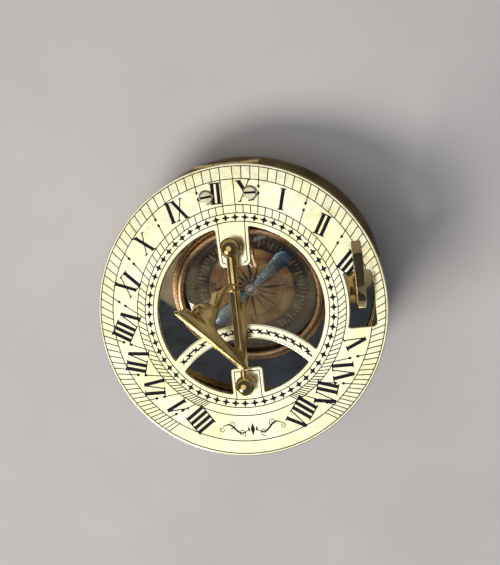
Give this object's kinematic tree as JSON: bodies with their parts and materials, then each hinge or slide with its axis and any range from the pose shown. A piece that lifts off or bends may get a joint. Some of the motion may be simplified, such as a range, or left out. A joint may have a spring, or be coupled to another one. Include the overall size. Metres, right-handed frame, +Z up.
{
  "type": "sundial compass",
  "caption": "Round brass pocket sundial compass: hinged hour-ring lid with folding gnomon and latitude arc over a glazed compass box.",
  "frame": {"origin": "centre of the underside, on the surface that it stands on", "axes": "+Z up, +Y north towards the lid hinge, +X east towards the latitude arc"},
  "size_m": [0.1016, 0.1007, 0.0671],
  "materials": {
    "pale_brass": "polished and lacquered, pale yellow",
    "gold_brass": "polished, golden, slightly toned",
    "card": "coppery card with black printing",
    "steel": "bright turned steel",
    "blued_steel": "blued and polished",
    "crystal": "clear flat glass",
    "gasket": "matt black"
  },
  "bodies": {
    "base": {"base_housing": "gold_brass", "bottom_cover": "gold_brass", "deck_plate": "gold_brass", "compass_bowl": "gold_brass", "compass_bezel": "gold_brass", "compass_card": "card", "needle_pivot": "steel", "compass_glass": "crystal", "glass_gasket": "gasket", "hinge_base_leaf": "gold_brass", "deck_screw_west": "pale_brass", "deck_screw_east": "pale_brass", "hinge_pin": "steel", "arc_bracket": "gold_brass", "bracket_screw_south": "pale_brass", "bracket_screw_north": "pale_brass", "arc_pin": "steel"},
    "lid": {"dial_plate": "pale_brass", "hinge_lid_leaf": "gold_brass", "hinge_screw_west": "pale_brass", "hinge_screw_east": "pale_brass", "hinge_nut_west": "pale_brass", "hinge_nut_east": "pale_brass", "north_post": "gold_brass", "north_post_nut": "pale_brass", "south_post": "gold_brass", "south_post_nut": "pale_brass", "north_pivot_rod": "gold_brass", "south_pivot_pin": "gold_brass"},
    "gnomon": {"gnomon": "gold_brass"},
    "needle": {"compass_needle": "blued_steel", "needle_cap": "pale_brass"},
    "latitude_arc": {"latitude_arc": "gold_brass"}
  },
  "joints": [
    {"name": "lid_hinge", "type": "hinge", "parent": "base", "child": "lid", "pos_m": [0, 0.0492, 0.0151], "axis": [-1, 0, 0], "range_deg": [-23.4, 66.6]},
    {"name": "gnomon_fold", "type": "hinge", "parent": "lid", "child": "gnomon", "pos_m": [0, 0.00857, 0.0451], "axis": [0, 0.9178, -0.3971], "range_deg": [-58.7, 31.3]},
    {"name": "needle_spin", "type": "hinge", "parent": "base", "child": "needle", "pos_m": [0, 0, 0.011], "axis": [0, 0, 1], "continuous": true},
    {"name": "arc_fold", "type": "hinge", "parent": "base", "child": "latitude_arc", "pos_m": [0.0395, -0.0003, 0.0153], "axis": [0, 1, 0], "range_deg": [-4.5, 0.5]}
  ]
}
